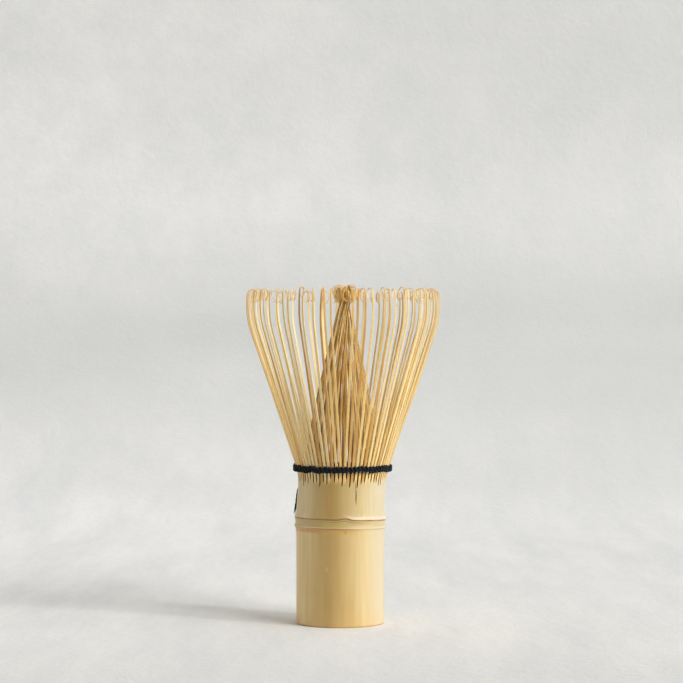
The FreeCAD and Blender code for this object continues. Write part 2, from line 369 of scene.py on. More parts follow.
def outer_strand(index, draw):
    """An outer tine: upright root, splay, straight run, bend to upright and curled tip."""
    angle = outer_angle(index)
    strand = Strand(radial(angle) * ROOT_RADIUS + UP * ROOT_START, UP, tangential(angle))
    strand.forward(ROOT_RISE, 4)
    strand.forward(ROOT_CURVE, 8, outward=ROOT_SPLAY)
    aside = -some(draw, 0.45) - parting(angle)
    splay = SPLAY + some(draw, 0.35) - ROOT_SPLAY
    strand.forward(LACED_RUN, 5, outward=splay, sideways=aside)
    bow, sway = some(draw, 0.9), some(draw, 0.7)
    strand.forward(HALF_RUN, 9, outward=bow, sideways=sway, twist=draw.gauss(0, 0.08))
    strand.forward(HALF_RUN, 9, outward=-bow, sideways=-sway)
    strand.forward(BEND_RUN, 9, outward=-SPLAY - TUCK, sideways=-aside)
    tip_run = TIP_RUN + draw.uniform(-0.25, 0.25)
    strand.forward(tip_run, 4, outward=-math.radians(4), twist=draw.gauss(0, 0.25))
    lean = draw.gauss(0, 0.35)
    radius = draw.uniform(*OUTER_CURL_RADIUS)
    turn = math.radians(draw.uniform(*OUTER_CURL_TURN))
    strand.forward(radius * turn, 14, outward=-turn, sideways=lean * 0.6)
    hook = math.radians(draw.uniform(*OUTER_HOOK_TURN))
    strand.forward(draw.uniform(*OUTER_HOOK_RUN), 10, outward=-hook, sideways=lean * 0.5)
    return strand


def outer_shape(index):
    """The cross-section of an outer tine along its length, with a slit on either side."""
    low_slit, high_slit = slit_bottom(index - 1), slit_bottom(index)
    full = math.tan(PITCH / 2) * ROOT_RADIUS

    def half_width(z, slit):
        opened = (slit + SLIT_TAPER, full - SLIT_HALF_WIDTH)
        return between(z, ((slit, full), opened, (THREAD_Z, OUTER_WIDTH / 2)))

    def shape_at(length, at):
        if length < ROOT_LENGTH:
            left, right = half_width(at.z, low_slit), half_width(at.z, high_slit)
            return left, right, between(length, ROOT_THICKNESS), between(length, ROOT_CHAMFER), 0.0135
        half = between(length, OUTER_HALF_WIDTH)
        return half, half, between(length, OUTER_THICKNESS), 0.05, 0.02

    return shape_at


def inner_strand(index, draw):
    """An inner tine: in under the thread, up the cone's side to the neck, and curled out."""
    angle = outer_angle(index) + PITCH / 2
    strand = Strand(radial(angle) * INNER_ROOT_RADIUS + UP * INNER_ROOT_Z, UP, tangential(angle))
    strand.forward(2.2, 3)
    strand.forward(3.0, 4, outward=-math.radians(13))
    strand.forward(2.6, 3, outward=math.radians(7))
    around = angle + CONE_TWIST + some(draw, 15)
    around += 0.3 * math.sin(2 * (around - FRONT))
    narrow, wide = NECK_RADIUS
    reach = narrow + (wide - narrow) * math.sqrt(draw.random())
    neck = radial(around) * reach + APEX_SHIFT + UP * (NECK_Z + draw.uniform(-1.0, 1.0))
    strand.steer(neck, 26, eagerness=0.13)
    strand.forward(2.4, 4, outward=math.radians(12), twist=draw.gauss(0, 0.25))
    strand.forward(2.9 + draw.uniform(-0.8, 0.4), 4, outward=math.radians(3))
    lean = draw.gauss(0, 0.40)
    radius = draw.uniform(*INNER_CURL_RADIUS)
    turn = math.radians(draw.uniform(*INNER_CURL_TURN))
    strand.forward(radius * turn, 14, outward=turn, sideways=lean)
    strand.forward(draw.uniform(0.8, 2.0), 4, outward=math.radians(20))
    hook = math.radians(draw.uniform(*INNER_HOOK_TURN))
    strand.forward(radius * 0.85 * hook, 10, outward=hook, sideways=lean * 0.4)
    return strand


def inner_shape(length, _at):
    """The cross-section of an inner tine along its length."""
    half = between(length, INNER_HALF_WIDTH)
    return half, half, between(length, INNER_THICKNESS), 0.035, 0.012


def fan(kind, segment, material):
    """One segment's four tines as one piece."""
    parts = MeshParts()
    first = segment * TINES_PER_SEGMENT
    for index in range(first, first + TINES_PER_SEGMENT):
        draw = random.Random(f"{kind} {index}")
        if kind == "outer":
            add_strip(parts, outer_strand(index, draw), outer_shape(index), draw.random())
        else:
            add_strip(parts, inner_strand(index, draw), inner_shape, draw.random())
    number = f"{segment + 1:02d}"
    piece = parts.build(f"{kind}_tine_fan_{number}", material)
    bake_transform(piece)
    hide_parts(f"{kind}_tines_{number}", f"{kind}_tine_roots")
    return piece


# Culm ---------------------------------------------------------------------------------------


def outer_profile():
    """The culm's outer face as (radius, z) from the collar down to the foot."""
    return [
        (ROOT_RADIUS, ROOT_START),
        (ROOT_RADIUS, 41.0),
        (ROOT_RADIUS + 0.03, 38.0),
        (ROOT_RADIUS + 0.10, 36.2),
        (ROOT_RADIUS + 0.24, UPPER_LINE_Z + 1.3),
        (ROOT_RADIUS + 0.40, UPPER_LINE_Z + 0.7),
        (ROOT_RADIUS + 0.53, UPPER_LINE_Z + 0.32),
        (ROOT_RADIUS + 0.55, UPPER_LINE_Z + 0.18),
        (ROOT_RADIUS + 0.51, UPPER_LINE_Z + 0.06),
        (ROOT_RADIUS + 0.43, UPPER_LINE_Z - 0.06),
        (ROOT_RADIUS + 0.41, UPPER_LINE_Z - 0.20),
        (ROOT_RADIUS + 0.35, UPPER_LINE_Z - 0.55),
        (GROOVE_RADIUS, UPPER_LINE_Z - 1.1),
        (GROOVE_RADIUS, RIDGE_Z + 0.9),
        (GROOVE_RADIUS + 0.12, RIDGE_Z + 0.55),
        (RIDGE_RADIUS - 0.08, RIDGE_Z + 0.26),
        (RIDGE_RADIUS + 0.06, RIDGE_Z + 0.08),
        (RIDGE_RADIUS + 0.05, RIDGE_Z - 0.08),
        (RIDGE_RADIUS - 0.08, RIDGE_Z - 0.24),
        (RIDGE_RADIUS - 0.26, RIDGE_Z - 0.42),
        (RIDGE_RADIUS - 0.36, RIDGE_Z - 0.8),
        (GRIP_RADIUS + 0.13, RIDGE_Z - 1.6),
        (GRIP_RADIUS + 0.03, RIDGE_Z - 3.2),
        (GRIP_RADIUS, 25.0),
        (GRIP_RADIUS - 0.03, 18.0),
        (GRIP_RADIUS - 0.04, 10.0),
        (GRIP_RADIUS - 0.02, 2.0),
        (GRIP_RADIUS - 0.04, 0.42),
        (GRIP_RADIUS - 0.12, 0.16),
        (GRIP_RADIUS - 0.30, 0.02),
        (GRIP_RADIUS - 0.42, 0.0),
    ]


def inside_profiles():
    """The faces above the diaphragm, and those from the foot up to it."""
    above = [
        (0.0, DIAPHRAGM_HIGH),
        (COLLAR_BORE_RADIUS - 1.6, DIAPHRAGM_HIGH),
        (COLLAR_BORE_RADIUS - 0.5, DIAPHRAGM_HIGH + 0.6),
        (COLLAR_BORE_RADIUS, NODE_TOP),
        (COLLAR_BORE_RADIUS, 42.6),
        (ROOT_RADIUS - OUTER_WALL, ROOT_START),
    ]
    below = [
        (BORE_RADIUS + 0.3, 0.0),
        (BORE_RADIUS, 0.3),
        (BORE_RADIUS, GRIP_TOP),
        (BORE_RADIUS - 0.5, DIAPHRAGM_LOW - 0.2),
        (BORE_RADIUS - 1.6, DIAPHRAGM_LOW),
        (0.0, DIAPHRAGM_LOW),
    ]
    return above, below


def node_rise(angle, z):
    """How far the node's two lines stand above their mean heights at an angle.

    Both run higher in front and lower on the right, and the upper one peaks over the bud.
    """
    aside = turned(angle - FRONT)
    wander = noise.noise(Vector((math.cos(angle) * 1.7, math.sin(angle) * 1.7, 4.0)))
    bud = math.exp(-((turned(angle - BUD_ANGLE) / 0.13) ** 2))
    upper = LINE_TILT * math.cos(aside) - 0.40 * math.sin(aside) + 0.35 * wander + 0.55 * bud
    ridge = RIDGE_TILT * math.cos(aside) - 0.28 * math.sin(aside) + 0.12 * wander + 0.05 * bud
    return upper * between(z, UPPER_LINE_SHARE) + ridge * between(z, RIDGE_SHARE)


def refined(profile, spacing):
    """The profile with more points, so that no step along it is longer than the spacing."""
    points = [profile[0]]
    for (ra, za), (rb, zb) in zip(profile, profile[1:]):
        steps = max(1, math.ceil(math.hypot(rb - ra, zb - za) / spacing))
        for i in range(1, steps + 1):
            points.append((ra + (rb - ra) * i / steps, za + (zb - za) * i / steps))
    return points


def culm_angles():
    """Columns round the culm: even ones, and close ones beside the crack."""
    even = [math.tau * i / COLUMNS for i in range(COLUMNS)]
    crack = CRACK_ANGLE % math.tau
    step = CRACK_HALF_WIDTH / COLLAR_RADIUS
    near = [crack + step * offset for offset in (-2.2, -1, -0.45, 0, 0.45, 1, 2.2)]
    clear = [a for a in even if all(abs(a - n) > step * 0.5 for n in near)]
    return sorted(clear + near)


def culm_point(radius, z, angle):
    """A point of the culm's outer face, with the node's rise, a slight oval and the crack."""
    uneven = between(z, UNEVEN_SHARE)
    round_spot = radial(angle) * 2 + UP * z * 0.05
    rise = node_rise(angle, z)
    on_node = between(z, NODE_SHARE)
    radius += uneven * (0.05 * math.cos(2 * angle + 0.6) + 0.05 * noise.noise(round_spot))
    radius += on_node * (0.10 * math.cos(2 * turned(angle - FRONT) + math.pi) - 0.02)
    z += rise
    offset = abs(turned(angle - CRACK_ANGLE)) * COLLAR_RADIUS
    if z > CRACK_LOW and offset < CRACK_HALF_WIDTH:
        open_share = min(1.0, (z - CRACK_LOW) / 3.0)
        radius -= CRACK_DEPTH * open_share * (1 - offset / CRACK_HALF_WIDTH)
    return radial(angle) * radius + UP * z


def make_culm(material):
    """Grip, node and collar as the one piece of bamboo that they are."""
    above, below = (refined(part, INSIDE_STEP) for part in inside_profiles())
    outside = refined(outer_profile(), OUTSIDE_STEP)
    profile = above + outside + below
    angles = culm_angles()
    points, faces = [], []
    for row, (radius, z) in enumerate(profile):
        on_outside = len(above) <= row < len(above) + len(outside)
        for angle in angles:
            if on_outside:
                points.append(culm_point(radius, z, angle))
            else:
                points.append(radial(angle) * radius + UP * z)
    size = len(angles)
    for row in range(len(profile) - 1):
        for i in range(size):
            j = (i + 1) % size
            low, high = row * size, (row + 1) * size
            faces.append((low + i, high + i, high + j, low + j))
    mesh = bpy.data.meshes.new("carved_culm")
    mesh.from_pydata([settled(p) * MM for p in points], [], faces)
    mesh.validate()
    working = bmesh.new()
    working.from_mesh(mesh)
    bmesh.ops.remove_doubles(working, verts=working.verts, dist=1e-6)
    bmesh.ops.recalc_face_normals(working, faces=working.faces)
    working.to_mesh(mesh)
    working.free()
    mesh.polygons.foreach_set("use_smooth", [True] * len(mesh.polygons))
    mesh.set_sharp_from_angle(angle=math.radians(40))
    mesh.materials.append(material)
    piece = linked("carved_culm", mesh)
    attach(piece, "handle")
    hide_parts("grip_internode", "node_diaphragm", "collar_internode")
    return piece


# Thread -------------------------------------------------------------------------------------

STRAND_RADIUS = 0.37
THREAD_ROWS = (-0.38, 0.38)
PLIES = 3
PLY_PITCH = 1.7
PLY_RELIEF = 0.13
WEAVE_OUT, WEAVE_IN = 0.02, 0.62  # the laced faces of a tine, out and in from the hinge line
WEAVE_RISE = 0.37
DRIFT = 0.50  # how far the band wanders up and down round the whisk
SLACK = 0.30  # how far a strand wanders from its place in the band
POINTS_PER_TINE = 10

TAIL_RADIUS = 0.42
FRAYED_FIBRES = 11
FIBRE_RADIUS = 0.07
# The tail's middle line as (x, y, z): out of the band's left end and down past the collar.
TAIL_ROUTE = (
    (-12.90, 6.9, 49.8),
    (-12.60, 6.4, 48.0),
    (-12.60, 6.2, 46.2),
    (-12.90, 5.6, 44.6),
    (-13.62, 4.2, 43.0),
    (-13.98, 3.0, 41.2),
    (-14.25, 2.2, 39.0),
    (-14.65, 1.6, 36.4),
)


def add_thread_tube(parts, path, radius, closed, tone, sides=12):
    """A plied thread along a path: a tube with a low helical ridge for each ply."""
    rings, notes = [], []
    length = 0.0
    side = None
    count = len(path)
    for i, at in enumerate(path):
        ahead = path[(i + 1) % count] if closed or i + 1 < count else at
        behind = path[i - 1] if closed or i > 0 else at
        along = (ahead - behind).normalized()
        side = UP.cross(along).normalized() if side is None else side
        side = (side - along * side.dot(along)).normalized()
        out = along.cross(side)
        if i:
            length += (at - path[i - 1]).length
        reach = radius(i / (count - 1)) if callable(radius) else radius
        ring = []
        for k in range(sides):
            around = math.tau * k / sides
            ply = math.cos(PLIES * around - math.tau * length / PLY_PITCH)
            r = reach * (1 + PLY_RELIEF * ply)
            ring.append(at + side * math.cos(around) * r + out * math.sin(around) * r)
        rings.append(ring)
        notes.append([(tone, length, k / sides, 0.0) for k in range(sides)])
    parts.loft(rings, notes, closed=closed)


def make_thread(material):
    """Two rounds of two strands each, twined in front of and behind the outer tines."""
    parts = MeshParts()
    count = TINES * POINTS_PER_TINE
    face_out, face_in = OUTER_FLEX_RADIUS + WEAVE_OUT, OUTER_FLEX_RADIUS - WEAVE_IN
    middle = (face_out + face_in) / 2
    swing = (face_out - face_in) / 2 + STRAND_RADIUS * 0.75
    for row_number, row in enumerate(THREAD_ROWS):
        for strand in (0, 1):
            path = []
            for i in range(count):
                angle = math.tau * i / count
                spot = radial(angle) * 20 + UP * (strand + 3 * row_number)
                loose = noise.noise(spot)
                weave = TINES / 2 * angle + math.pi * (strand + 0.45 * row_number) + 0.9 * loose
                drift = DRIFT * noise.noise(radial(angle) * 4.0 + UP * 7)
                swell = max(-1.0, min(1.0, 1.5 * math.sin(weave)))
                radius = middle + swing * swell + 0.10 * loose
                z = THREAD_Z + 0.1 + row + WEAVE_RISE * math.cos(weave) + drift + SLACK * loose
                path.append(radial(angle) * radius + UP * z)
            tone = 0.2 + 0.3 * strand + 0.2 * row_number
            add_thread_tube(parts, path, STRAND_RADIUS, True, tone)
    piece = parts.build("twined_thread", material, sharp_deg=180)
    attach(piece, "handle")
    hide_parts("binding_thread")
    return piece


def spline(points, steps):
    """A smooth line through the points."""
    padded = [points[0] * 2 - points[1]] + points + [points[-1] * 2 - points[-2]]
    line = []
    for a, b, c, d in zip(padded, padded[1:], padded[2:], padded[3:]):
        for i in range(steps):
            t = i / steps
            squared, cubed = 2 * a - 5 * b + 4 * c - d, 3 * b - a - 3 * c + d
            line.append(0.5 * (2 * b + (c - a) * t + squared * t**2 + cubed * t**3))
    return line + [points[-1]]


def make_tail(material):
    """The loose end beside the collar, with its last millimetres frayed into fibres."""
    parts = MeshParts()
    # The route is where the tail ends up, so the culm's lean is taken off it first.
    path = [p * 2 - settled(p) for p in spline([Vector(p) for p in TAIL_ROUTE], 14)]
    add_thread_tube(parts, path, lambda share: TAIL_RADIUS * (1 - 0.25 * share), False, 1.0)
    draw = random.Random(5)
    end = path[-1]
    direction = (path[-1] - path[-4]).normalized()
    for _ in range(FRAYED_FIBRES):
        lean = Vector([draw.uniform(-0.35, 0.35) for _ in range(3)])
        start = end - direction * 0.5 + lean * 0.4
        tip = end + (direction + lean) * draw.uniform(0.5, 1.5)
        bend = (start + tip) / 2 + Vector([draw.uniform(-0.12, 0.12) for _ in range(3)])
        line = spline([start, bend, tip], 5)
        add_thread_tube(parts, line, lambda share: FIBRE_RADIUS * (1 - 0.6 * share), False, 1.0, 5)
    piece = parts.build("frayed_tail", material, sharp_deg=180)
    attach(piece, "handle")
    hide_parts("thread_tail")
    return piece


# Materials ----------------------------------------------------------------------------------


class Shader:
    """A node tree written with short calls. Values are sockets or plain numbers."""

    def __init__(self, tree):
        self.tree = tree

    def add(self, kind, inputs=(), output=0, **settings):
        """Adds a node. inputs pairs a socket's name or number with a value or a socket."""
        made = self.tree.nodes.new("ShaderNode" + kind)
        for key, value in settings.items():
            setattr(made, key, value)
        for key, value in dict(inputs).items():
            self.feed(made.inputs[key], value)
        return made.outputs[output]

    def feed(self, socket, value):
        """Links a socket into an input, or sets the input to a plain value."""
        if isinstance(value, bpy.types.NodeSocket):
            self.tree.links.new(value, socket)
        else:
            socket.default_value = value

    def split(self, vector):
        made = self.tree.nodes.new("ShaderNodeSeparateXYZ")
        self.feed(made.inputs[0], vector)
        return tuple(made.outputs)

    def math(self, operation, a, b=0.0):
        return self.add("Math", {0: a, 1: b}, operation=operation)

    def plus(self, a, b):
        return self.math("ADD", a, b)

    def minus(self, a, b):
        return self.math("SUBTRACT", a, b)

    def times(self, a, b):
        return self.math("MULTIPLY", a, b)

    def scaled(self, value, low, high, to_low=0.0, to_high=1.0):
        """value moved from one range to another, smoothly and held at the ends."""
        return self.add(
            "MapRange",
            {"Value": value, "From Min": low, "From Max": high, "To Min": to_low, "To Max": to_high},
            interpolation_type="SMOOTHSTEP",
        )

    def band(self, value, centre, half_width):
        """1 at the centre, falling smoothly to 0 at the half width."""
        distance = self.math("ABSOLUTE", self.minus(value, centre))
        return self.scaled(distance, 0.0, half_width, 1.0, 0.0)

    def grain(self, vector, scale=1.0, detail=3.0, roughness=0.55):
        """Cloudy noise of about 0.3 to 0.7."""
        settings = {"Vector": vector, "Scale": scale, "Detail": detail, "Roughness": roughness}
        return self.add("TexNoise", settings)

    def joined(self, x, y, z):
        return self.add("CombineXYZ", {0: x, 1: y, 2: z})

    def ramp(self, value, stops):
        """A colour ramp through (place, (r, g, b)) stops."""
        made = self.tree.nodes.new("ShaderNodeValToRGB")
        elements = made.color_ramp.elements
        while len(elements) < len(stops):
            elements.new(0.5)
        for element, (place, rgb) in zip(elements, stops):
            element.position, element.color = place, (*rgb, 1.0)
        self.feed(made.inputs[0], value)
        return made.outputs[0]

    def mix(self, share, a, b):
        made = self.tree.nodes.new("ShaderNodeMix")
        made.data_type = "RGBA"
        self.feed(made.inputs[0], share)
        for socket, value in ((made.inputs[6], a), (made.inputs[7], b)):
            self.feed(socket, (*value, 1.0) if isinstance(value, tuple) else value)
        return made.outputs[2]

    def layered(self, base, layers):
        """base with (colour, where, strength) layers laid over it in turn."""
        for colour, where, strength in layers:
            base = self.mix(self.times(where, strength), base, colour)
        return base

    def bump(self, height, strength, distance):
        return self.add("Bump", {"Height": height, "Strength": strength, "Distance": distance})


class Paint(Shader):
    """The nodes of one new material."""

    def __init__(self, name):
        self.material = bpy.data.materials.new(name)
        self.material.use_nodes = True
        super().__init__(self.material.node_tree)
        self.surface = self.tree.nodes["Principled BSDF"]

    def place_mm(self):
        """Where the shaded point is, as (x, y, z) in millimetres."""
        return tuple(self.math("DIVIDE", s, MM) for s in self.split(self.add("TexCoord", output=3)))

    def note(self, name, output):
        """A point attribute: output 1 is its vector and 2 its plain value."""
        return self.add("Attribute", output=output, attribute_name=name)

    def finish(self, colour, roughness, normal):
        self.feed(self.surface.inputs["Base Color"], colour)
        self.feed(self.surface.inputs["Roughness"], roughness)
        self.feed(self.surface.inputs["Normal"], normal)
        return self.material


# Colours, as linear red, green and blue.
STRAW = (0.76, 0.560, 0.240)
STRAW_PALE = (0.79, 0.610, 0.295)
# Painted shade: the straw darkened on the culm's right flank.
STRAW_DEEP = (0.71, 0.495, 0.185)
FLANK_PAINTED_SHADE = (0.66, 0.495, 0.215)
FIBRE_BROWN = (0.50, 0.34, 0.13)
BLOTCH_TAN = (0.70, 0.47, 0.17)
COLLAR_OLIVE = (0.59, 0.475, 0.235)
# Painted shade for the culm's front-left.
PAINTED_SHADE_AMBER = (0.42, 0.25, 0.055)
# Painted shade for the culm's front-right.
FRONT_PAINTED_SHADE = (0.44, 0.28, 0.08)
# Painted sheen: the paler, greyer skin of the culm's lit right side.
PAINTED_SHEEN_PALE = (0.64, 0.56, 0.40)
STREAK_GREY = (0.34, 0.24, 0.10)
STREAK_RUST = (0.62, 0.31, 0.09)
CRACK_BROWN = (0.19, 0.075, 0.018)

NODE_BLUSH = (0.84, 0.68, 0.52)
GROOVE_BROWN = (0.50, 0.34, 0.16)
GROOVE_OLIVE = (0.50, 0.40, 0.12)
LENS_BROWN = (0.30, 0.19, 0.07)
STAIN_RUST = (0.62, 0.33, 0.09)
STAIN_BROWN = (0.26, 0.12, 0.04)
# A painted highlight along the node's ridge.
PAINTED_RIDGE_HIGHLIGHT = (0.84, 0.72, 0.56)
LINE_MAROON = (0.26, 0.065, 0.02)
SCAR_BROWN = (0.33, 0.15, 0.04)

FOOT_TAN = (0.70, 0.45, 0.16)
FLECK_PALE = (0.84, 0.72, 0.48)
RIM_GOLD = (0.62, 0.34, 0.09)
RAW_BORE = (0.46, 0.25, 0.08)
END_GRAIN = ((0.05, (0.26, 0.13, 0.05)), (0.30, (0.62, 0.42, 0.19)), (0.60, (0.70, 0.51, 0.26)))

CUT_CREAM = (0.98, 0.81, 0.44)
# Painted shade in the slits between the tines' roots.
PAINTED_SLIT_SHADE = (0.13, 0.045, 0.005)

# The thread's lighter tones are painted highlights on its plies.
NAVY, NAVY_HIGHLIGHT = (0.0020, 0.0032, 0.0060), (0.034, 0.050, 0.082)
GREEN, GREEN_HIGHLIGHT = (0.0, 0.019, 0.014), (0.0, 0.070, 0.054)
SHEEN_TINT = (0.4, 0.7, 0.85, 1.0)

PLASTER = ((0.35, (0.85, 0.858, 0.864)), (0.65, (0.985, 0.978, 0.962)))
# Painted shade for the backdrop, and for the floor darkening towards the camera.
PAINTED_SHADE_GREY = (0.655, 0.662, 0.660)
PAINTED_NEAR_SHADE = (0.68, 0.67, 0.65)


def fibres(paint, place, density, run, detail=4.0):
    """Vertical streaks: density is across the culm and run along it, per millimetre."""
    x, y, z = place
    stretched = paint.joined(paint.times(x, density), paint.times(y, density), paint.times(z, run))
    return paint.grain(stretched, 1.0, detail, 0.6)


def front_angle(paint, place):
    """The angle round the culm: 0 in front and positive to the right."""
    return paint.math("ARCTAN2", place[0], paint.times(place[1], -1.0))


def away_from_back(paint, angle):
    """1 round the front and the sides, falling to 0 at the back, where the angle jumps."""
    return paint.scaled(paint.math("ABSOLUTE", angle), 3.1, 2.2)


def skin_colour(paint, place):
    """The colour of the culm's outer face, with painted shade and a painted sheen round it. It is shared
    with the roots of the tines.
    """
    x, y, z = place
    angle = front_angle(paint, place)
    fine, broad = fibres(paint, place, 3.6, 0.07), fibres(paint, place, 0.42, 0.03, 2.0)
    blotch = paint.grain(paint.joined(x, y, paint.times(z, 0.5)), 0.13, 2.0)
    collar = paint.scaled(z, 33.5, 35.5)
    # shade: how strong the painted shade on the front-left is, a little more on the collar.
    shade = paint.plus(paint.times(collar, 0.12), 0.66)
    # Painted sheen: the lit right side is painted paler, fading towards the back.
    painted_sheen = paint.times(paint.scaled(angle, 0.25, 1.1), away_from_back(paint, angle))
    grey = paint.times(paint.scaled(fibres(paint, place, 0.9, 0.06, 3.0), 0.52, 0.68), collar)
    streak = paint.times(paint.band(angle, -0.265, 0.035), paint.band(z, 41.6, 6.5))
    beside_crack = paint.band(angle, CRACK_ANGLE - FRONT, 0.020)
    lips = paint.times(beside_crack, paint.scaled(z, CRACK_LOW - 0.5, 41.0))
    return paint.layered(
        paint.ramp(broad, ((0.34, STRAW_DEEP), (0.52, STRAW), (0.70, STRAW_PALE))),
        (
            (FIBRE_BROWN, paint.scaled(fine, 0.46, 0.70), 0.13),
            (BLOTCH_TAN, paint.scaled(blotch, 0.45, 0.75), 0.30),
            # Painted shade on the front-left, where the culm turns from the light.
            (COLLAR_OLIVE, collar, 0.50),
            # Painted shade on the right flank.
            (PAINTED_SHADE_AMBER, paint.band(angle, -0.22, 0.62), shade),
            # Painted shade on the front-right.
            (FLANK_PAINTED_SHADE, paint.band(angle, 0.86, 0.36), 0.5),
            # A painted sheen on the lit right side.
            (FRONT_PAINTED_SHADE, paint.band(angle, 0.30, 0.36), 0.36),
            (PAINTED_SHEEN_PALE, painted_sheen, 0.75),
            (STREAK_GREY, grey, 0.18),
            (STREAK_RUST, streak, 0.75),
            (CRACK_BROWN, lips, 0.75),
        ),
    )


def node_colour(paint, place, base):
    """The node's stains over the skin: dark upper line, olive groove and bud scar, with a painted
    highlight along the ridge.
    """
    x, y, z = place
    angle = front_angle(paint, place)
    drift = paint.grain(paint.joined(paint.times(x, 0.11), paint.times(y, 0.11), 2.0), 1.0, 3.0)
    patchy = paint.scaled(drift, 0.35, 0.62)
    lean = paint.minus(paint.math("COSINE", angle), paint.times(paint.math("SINE", angle), 0.9))
    bud_angle = BUD_ANGLE - FRONT
    bud = paint.band(angle, bud_angle, 0.20)
    line_z = paint.plus(paint.times(lean, LINE_TILT), paint.plus(paint.times(bud, 0.5), UPPER_LINE_Z))
    over_line = paint.minus(z, line_z)
    over_ridge = paint.minus(z, paint.plus(paint.times(lean, RIDGE_TILT), RIDGE_Z))

    seen = away_from_back(paint, angle)
    on_right = paint.times(paint.scaled(angle, -0.1, 0.5), seen)
    on_left = paint.times(paint.scaled(angle, 0.65, 0.0), seen)
    above = paint.times(paint.band(over_line, 0.7, 0.8), on_right)
    groove = paint.times(paint.scaled(over_ridge, 0.1, 0.5), paint.scaled(over_line, 0.15, -0.25))
    lens = paint.times(paint.band(over_line, -0.75, 0.35), paint.band(angle, 0.05, 0.75))
    stain = paint.times(paint.band(over_ridge, -0.9, 1.4), on_left)
    under = paint.times(paint.band(over_ridge, -0.30, 0.22), on_left)
    scar = paint.times(paint.band(angle, bud_angle, 0.03), paint.band(z, 30.4, 0.9))
    return paint.layered(
        base,
        (
            (NODE_BLUSH, above, 0.45),
            (
                paint.mix(patchy, GROOVE_BROWN, GROOVE_OLIVE),
                groove,
                paint.scaled(angle, 0.15, 0.95, 0.78, 0.42),
            ),
            (LENS_BROWN, lens, 0.75),
            (STAIN_RUST, stain, 0.85),
            (STAIN_BROWN, under, 0.65),
            # A painted highlight along the ridge's crest.
            (PAINTED_RIDGE_HIGHLIGHT, paint.band(over_ridge, 0.04, 0.26), paint.scaled(patchy, 1.0, 0.0, 0.20, 0.55)),
            (LINE_MAROON, paint.band(over_line, 0.0, 0.38), paint.scaled(patchy, 0.0, 1.0, 0.65, 1.0)),
            (SCAR_BROWN, scar, 0.6),
        ),
    )


def culm_paint():
    """Cured bamboo: straw skin, stained node, golden sawn edge, end grain and a raw bore."""
    paint = Paint("bamboo_culm")
    place = paint.place_mm()
    x, y, z = place
    fleck = paint.times(paint.band(front_angle(paint, place), -0.31, 0.03), paint.band(z, 18.5, 1.2))
    dots = paint.add("TexVoronoi", {"Vector": paint.joined(x, y, z), "Scale": 1.9})
    radius = paint.math("SQRT", paint.plus(paint.times(x, x), paint.times(y, y)))
    inside = paint.times(paint.scaled(radius, 13.4, 12.6), paint.scaled(z, 0.05, 0.6))
    base = paint.layered(
        node_colour(paint, place, skin_colour(paint, place)),
        (
            (FOOT_TAN, paint.scaled(z, 9.0, 0.0), 0.25),
            (FLECK_PALE, fleck, 0.4),
            (RIM_GOLD, paint.scaled(z, 0.55, 0.28), 0.85),
            (paint.ramp(dots, END_GRAIN), paint.scaled(z, 0.10, 0.02), 1.0),
            (RAW_BORE, inside, 0.8),
        ),
    )
    fine = fibres(paint, place, 4.5, 0.09)
    height = paint.plus(fine, paint.times(fibres(paint, place, 11.0, 0.15), 0.5))
    paint.surface.inputs["Coat Weight"].default_value = 0.25
    paint.surface.inputs["Coat Roughness"].default_value = 0.42
    roughness = paint.scaled(fine, 0.3, 0.7, 0.40, 0.52)
    return paint.finish(base, roughness, paint.bump(height, 0.22, 0.00010))


def tine_paint(name, pale, mid, deep, tip, root_shade):
    """Shaved bamboo in three tones, with darker tips and painted brown shade in the slits.

    The attribute "strand" holds (tone, millimetres from the root, share of the length), and
    "skin" is 1 on the outer face. root_shade is how far the slits' painted shade covers that face too.
    """
    paint = Paint(name)
    tone, length, share = paint.split(paint.note("strand", 1))
    skin = paint.note("skin", 2)
    cut = paint.minus(1.0, skin)
    place = paint.place_mm()
    z = place[2]
    fibre = fibres(paint, place, 5.2, 0.21, 3.0)
    along = paint.joined(paint.times(tone, 91.0), paint.times(length, 0.09), 0.0)
    mixed = paint.plus(paint.times(tone, 0.55), paint.times(paint.grain(along, 1.0, 2.0), 0.45))
    # gap: painted shade, dark brown on the cut faces low in the slits, and on every face where root_shade
    # is 1.
    gap = paint.times(paint.math("MAXIMUM", cut, root_shade), paint.scaled(z, 51.5, 47.5))
    root = paint.times(paint.scaled(z, 47.6, 45.2), paint.scaled(length, 5.0, 3.0))
    base = paint.layered(
        paint.ramp(mixed, ((0.22, deep), (0.46, mid), (0.68, pale))),
        (
            (deep, paint.scaled(fibre, 0.46, 0.70), 0.42),
            (deep, skin, 0.32),
            (CUT_CREAM, cut, 0.40),
            (tip, paint.scaled(share, 0.84, 0.93), paint.scaled(tone, 0.0, 0.8, 0.85, 0.15)),
            (skin_colour(paint, place), root, 1.0),
            # Painted shade in the slits.
            (PAINTED_SLIT_SHADE, gap, 0.9),
        ),
    )
    paint.feed(paint.surface.inputs["Specular IOR Level"], paint.scaled(gap, 0.0, 0.5, 0.5, 0.04))
    roughness = paint.scaled(fibre, 0.3, 0.7, 0.32, 0.44)
    return paint.finish(base, roughness, paint.bump(fibre, 0.20, 0.00006))


